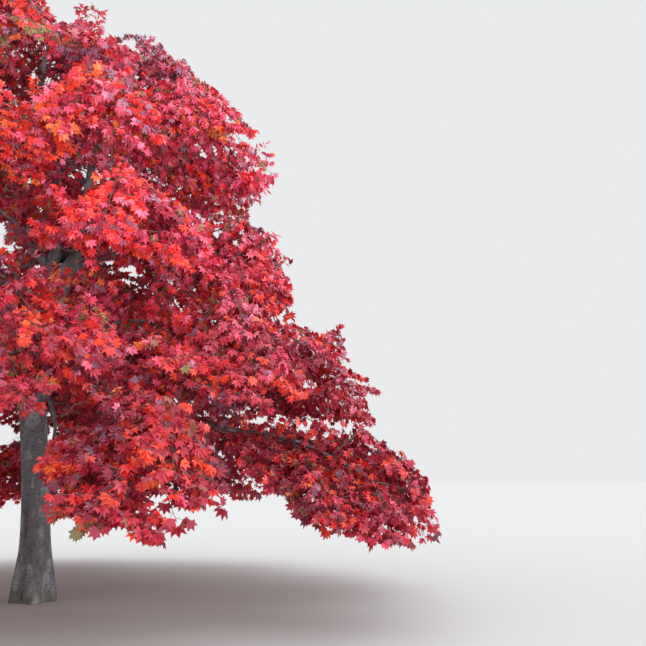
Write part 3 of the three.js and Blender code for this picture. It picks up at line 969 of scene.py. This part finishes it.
def clearLeaves(place, owner):
    # Leaves that would leave their mass's box, if they are its own, or touch a limb are skipped
    kept = np.ones(len(place), bool)
    for index, space in enumerate(spaces):
        mine = np.flatnonzero(spraySpace[owner] == index)
        inside = inBox(place[mine], index, leaf["boxMargin"]) | (owner[mine] >= inMasses)
        close = np.abs(limbPoints - space["centre"]).max(1) < leaf["nearby"]
        close &= ~((limbOwners == index) & limbEnds)
        kept[mine] = inside & awayFrom(place[mine], close, leaf["limbGap"])
    return kept


twigletRoot, twigletTip, twigletOwner, twigletSize = growTwiglets()
leafPlace, leafForward, leafTwiglet = growLeaves(twigletRoot, twigletTip, twigletSize)
kept = clearLeaves(leafPlace, twigletOwner[leafTwiglet])
leafPlace, leafForward, leafTwiglet = leafPlace[kept], leafForward[kept], leafTwiglet[kept]
print("twiglets:", len(twigletSize), "leaves:", len(leafPlace))


def leafPoints(template):
    # place + length (x across + y along + z up), hanging from the twig and facing up and outward
    count = len(leafPlace)
    away = unit(leafPlace * [1, 1, 0])
    loose = leaf["loose"] * rng.normal(size=(count, 3))
    along = unit(leafForward + loose + [0, 0, -leaf["down"]])
    face = leaf["faceUp"] * np.array([0, 0, 1]) + leaf["faceOut"] * away
    face = face + leaf["faceLoose"] * rng.normal(size=(count, 3))
    up = unit(face - (face * along).sum(1, keepdims=True) * along)
    across = np.cross(along, up)
    length = leaf["length"] * (1 + leaf["lengthVaries"] * rng.uniform(-1, 1, count))
    curl = rng.uniform(*leaf["curl"], count)
    x, y, z = template.T
    shape = (across[:, None] * x[:, None] + along[:, None] * (y - leafFoot)[:, None]
             + up[:, None] * (curl[:, None] * z)[..., None])
    return leafPlace[:, None] + shape * length[:, None, None]


tints = {  # linear base colours, and how often a spray gets each at each height in the crown. The odds by height are partly the leaves' own colours and partly painted light: deeper tints low down as painted shade under the canopy, paler pinks higher up as painted sheen
    "scarlet": ((0.8, 0.027, 0.03), (16, 23, 22, 13)),
    "cherry": ((0.6, 0.022, 0.05), (25, 17, 8, 12)),
    "rose": ((0.78, 0.062, 0.135), (6, 12, 22, 19)),
    # a pale pink that stands for painted sheen on the leaves
    "blush_sheen": ((0.82, 0.16, 0.26), (1, 7, 18, 15)),
    "crimson": ((0.4, 0.018, 0.048), (27, 12, 3, 14)),
    "vermilion": ((0.9, 0.066, 0.026), (10, 18, 16, 5)),
    "orange": ((0.86, 0.16, 0.032), (2, 3, 3, 0)),
    "wine": ((0.22, 0.018, 0.048), (9, 3, 0, 7)),
    # a grey pink that stands for painted sheen on the leaves
    "mauve_sheen": ((0.42, 0.16, 0.25), (2, 3, 5, 15)),
    "olive": ((0.27, 0.19, 0.065), (1, 1, 1, 1)),
    "russet": ((0.33, 0.1, 0.055), (2, 2, 1, 1)),
}
# heights of the odds' columns: the lowest holds the deepest tints as painted shade, the upper ones more
# pink as painted sheen
tintHeights = (1.2, 3.2, 5.4, 7.2)
tintShares = (0.42, 0.8)  # up to these shares leaves have their spray's tint, and their twiglet's
innerShadeTints = {"olive": 8, "russet": 4, "orange": 3, "crimson": 1.6, "wine": 2}  # times as frequent inside: olive, russet and orange are the shaded inner leaves' own colours, the deeper crimson and wine painted shade
innerReach = 2.4  # metres from the axis
paintedSheenTints = {  # the same for the side with painted sheen: more of the pink tints that paint it, fewer bright reds
    "rose": 2.2, "blush_sheen": 1.9, "mauve_sheen": 1.8, "scarlet": 0.8, "vermilion": 0.4, "orange": 0.3,
}
paintedSheenTowards = 37  # degrees from +X
paintedSheenFrom, paintedSheenTo = -0.6, 1.6  # metres that way over which these come in


def dealTints():
    # Tints go by height, by nearness to the axis and by side, which carry painted shade and painted sheen,
    # and by a number of the spray's, the twiglet's or the leaf's own
    weights = np.array([odds for _, odds in tints.values()], float)
    weights = weights / weights.sum(0)
    odds = np.stack([np.interp(sprayTip[:, 2], tintHeights, row) for row in weights], 1)
    inner = np.exp(-((np.linalg.norm(sprayTip[:, :2], axis=1) / innerReach) ** 2))[:, None]
    more = np.array([innerShadeTints.get(name, 1) for name in tints])
    towards = (sprayTip @ heading(paintedSheenTowards))[:, None]
    share = np.clip((towards - paintedSheenFrom) / (paintedSheenTo - paintedSheenFrom), 0, 1)
    sheenOdds = np.array([paintedSheenTints.get(name, 1) for name in tints])
    odds = odds * lerp(1, more, inner) * lerp(1, sheenOdds, share)
    odds = odds / odds.sum(1, keepdims=True)
    leafSpray = twigletOwner[leafTwiglet]
    count = len(leafSpray)
    which = rng.uniform(size=count)
    draw = np.where(which < tintShares[1], rng.uniform(size=len(twigletOwner))[leafTwiglet],
                    rng.uniform(size=count))
    draw = np.where(which < tintShares[0], chance(spraySeed, 7)[leafSpray], draw)
    tint = (draw[:, None] > np.cumsum(odds, 1)[leafSpray]).sum(1)
    return np.minimum(tint, len(tints) - 1)


def plainMaterial(name, colour, roughness):
    material, *_, surface = newMaterial(name)
    surface.inputs["Base Color"].default_value = (*colour, 1)
    surface.inputs["Roughness"].default_value = roughness
    return material, surface


def twigMaterial():
    # Red-brown and grey in turn
    material, nodes, links, surface = newMaterial("maple_twigs")
    place = nodes.new("ShaderNodeTexCoord")
    tones = rampOf(nodes, links, noiseOf(nodes, links, place, *twigs["mottle"]), twigs["tones"])
    links.new(tones, surface.inputs["Base Color"])
    surface.inputs["Roughness"].default_value = twigs["roughness"]
    return material


masses = [space["node"] for space in spaces]
template, leafFaces = leafTemplate()
allLeaves = leafPoints(template)
leafTint = dealTints()
for number, (name, (colour, _)) in enumerate(tints.items()):
    points = allLeaves[leafTint == number]
    starts = np.arange(len(points))[:, None, None] * len(template)
    faces = (leafFaces[None] + starts).reshape(-1, 3)
    tinted, surface = plainMaterial(name + "_leaf", colour, leaf["roughness"])
    surface.inputs["Specular IOR Level"].default_value = leaf["shine"]
    piece = makePiece("leaves_" + name, points.reshape(-1, 3), faces, tinted, False)
    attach(piece, "root")
    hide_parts(*masses)
    print("leaves", name, len(points), "triangles", len(faces))


def bowed(root, tip, stops, bow):
    # Paths root + t (tip - root), bowed by 4 t (1 - t) bow in between, in their own length
    length = np.linalg.norm(tip - root, axis=1)
    t = np.linspace(0, 1, stops)[None, :, None]
    aside = (np.asarray(bow) * length[:, None])[:, None]
    return root[:, None] + t * (tip - root)[:, None] + 4 * t * (1 - t) * aside


def spikes(root, tip, radius):
    # Three-sided points, for twigs too fine to show a shape
    along = tip - root
    side = unit(np.cross(along, nearlyUp))
    up = unit(np.cross(side, along))
    foot = [root + radius * (side * math.cos(a) + up * math.sin(a)) for a in np.radians([90, 210, 330])]
    points = np.stack([*foot, tip], 1)
    faces = np.array([[0, 1, 2], [0, 3, 1], [1, 3, 2], [2, 3, 0]])
    return points.reshape(-1, 3), (faces + 4 * np.arange(len(points))[:, None, None]).reshape(-1, 3)


woody = tubes(stems, twigs["stemRadii"], twigs["stemSides"])
stemPiece = makePiece("foliage_stems", *woody, maple)
sidePaths = bowed(sideTwigs[:, 0], sideTwigs[:, 1], twigs["sideStops"], twigs["bow"] * sideOut)
sprayPaths = bowed(sprayRoot, sprayTip, twigs["sprayStops"], (0, 0, spray["arch"]))
fine = joined([
    tubes(sidePaths, twigs["sideRadii"], twigs["sideSides"]),
    tubes(sprayPaths, twigs["sprayRadii"], twigs["spraySides"]),
    spikes(twigletRoot, twigletTip, twigs["twigletRadius"]),
])
twigPiece = makePiece("fine_twigs", *fine, twigMaterial())
bareMains, bareForks = growBare()
bareMeshes = joined([
    tubes(bareMains, bare["radii"], bare["sides"]),
    tubes(bareForks, bare["forkRadii"], bare["forkSides"]),
])
greyBrown, _ = plainMaterial("bare_twig", bare["colour"], bare["roughness"])
barePiece = makePiece("bare_twigs", *bareMeshes, greyBrown)
print("bare twigs:", len(bareMains), "and", len(bareForks), "forks")
for piece in (stemPiece, twigPiece, barePiece):
    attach(piece, "root")
    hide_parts(*masses)
print("twigs:", len(woody[1]), "and", len(fine[1]), "triangles")


# Studio

studio = {
    "floorReach": 90,
    "floorColour": (0.64, 0.64, 0.638),
    "floorRoughness": 0.9,
    "backdrop": (0.62, 0.63, 0.64),
    "backdropStrength": 1.32,
    "lamps": [  # azimuth and height that it shines from, softness in degrees, strength
        (-30, 52, 70, 0.85),
        (-6, 9, 30, 1.4),
        (-140, 30, 80, 0.5),
        (90, 40, 70, 0.5),
    ],
    "spot": {  # a broad soft spot on the upper crown
        "place": (5.5, -9.5, 2.2),
        "aimedAt": (0.6, -1.2, 6.6),
        "width": 50,
        "size": 1.2,
        "power": 2200,
    },
}
view = {
    "place": (3.6, -10.4, 1.6),
    "pitch": 10.4,  # degrees up from level, looking along +Y
    "lens": 44.58,  # 800 pixels of a frame 646 wide, on a 36 mm sensor
    "sensor": 36,
    "farthest": 300,  # metres that it sees
}


def makeFloor():
    r = studio["floorReach"]
    points = np.array([[-r, -r, 0], [r, -r, 0], [r, r, 0], [-r, r, 0]], float)
    material, _ = plainMaterial("studio_floor", studio["floorColour"], studio["floorRoughness"])
    makePiece("floor", points, np.array([[0, 1, 2, 3]]), material, False)


def hangLamp(lamp, place, fromWhere):
    # A lamp's Z points to where its light comes from
    holder = bpy.data.objects.new(lamp.name, lamp)
    holder.location = place
    holder.rotation_euler = Vector(fromWhere).to_track_quat("Z", "Y").to_euler()
    scene.collection.objects.link(holder)


def makeLamps():
    for number, (azimuth, height, softness, strength) in enumerate(studio["lamps"]):
        lamp = bpy.data.lights.new(f"softbox_{number}", "SUN")
        lamp.angle = math.radians(softness)
        lamp.energy = strength
        hangLamp(lamp, (0, 0, 0), heading(azimuth) + [0, 0, math.tan(math.radians(height))])
    spot = studio["spot"]
    lamp = bpy.data.lights.new("crown_spot", "SPOT")
    lamp.energy = spot["power"]
    lamp.spot_size = math.radians(spot["width"])
    lamp.spot_blend = 1
    lamp.shadow_soft_size = spot["size"]
    hangLamp(lamp, spot["place"], Vector(spot["place"]) - Vector(spot["aimedAt"]))
    world = bpy.data.worlds.new("studio")
    world.use_nodes = True
    background = world.node_tree.nodes["Background"]
    background.inputs["Color"].default_value = (*studio["backdrop"], 1)
    background.inputs["Strength"].default_value = studio["backdropStrength"]
    scene.world = world


def makeCamera():
    data = bpy.data.cameras.new("camera")
    data.lens = view["lens"]
    data.sensor_width = view["sensor"]
    data.clip_end = view["farthest"]
    holder = bpy.data.objects.new("camera", data)
    holder.location = view["place"]
    holder.rotation_euler = (math.radians(90 + view["pitch"]), 0, 0)
    scene.collection.objects.link(holder)
    scene.camera = holder


makeFloor()
makeLamps()
makeCamera()
scene.view_settings.view_transform = "Standard"
print("studio set")
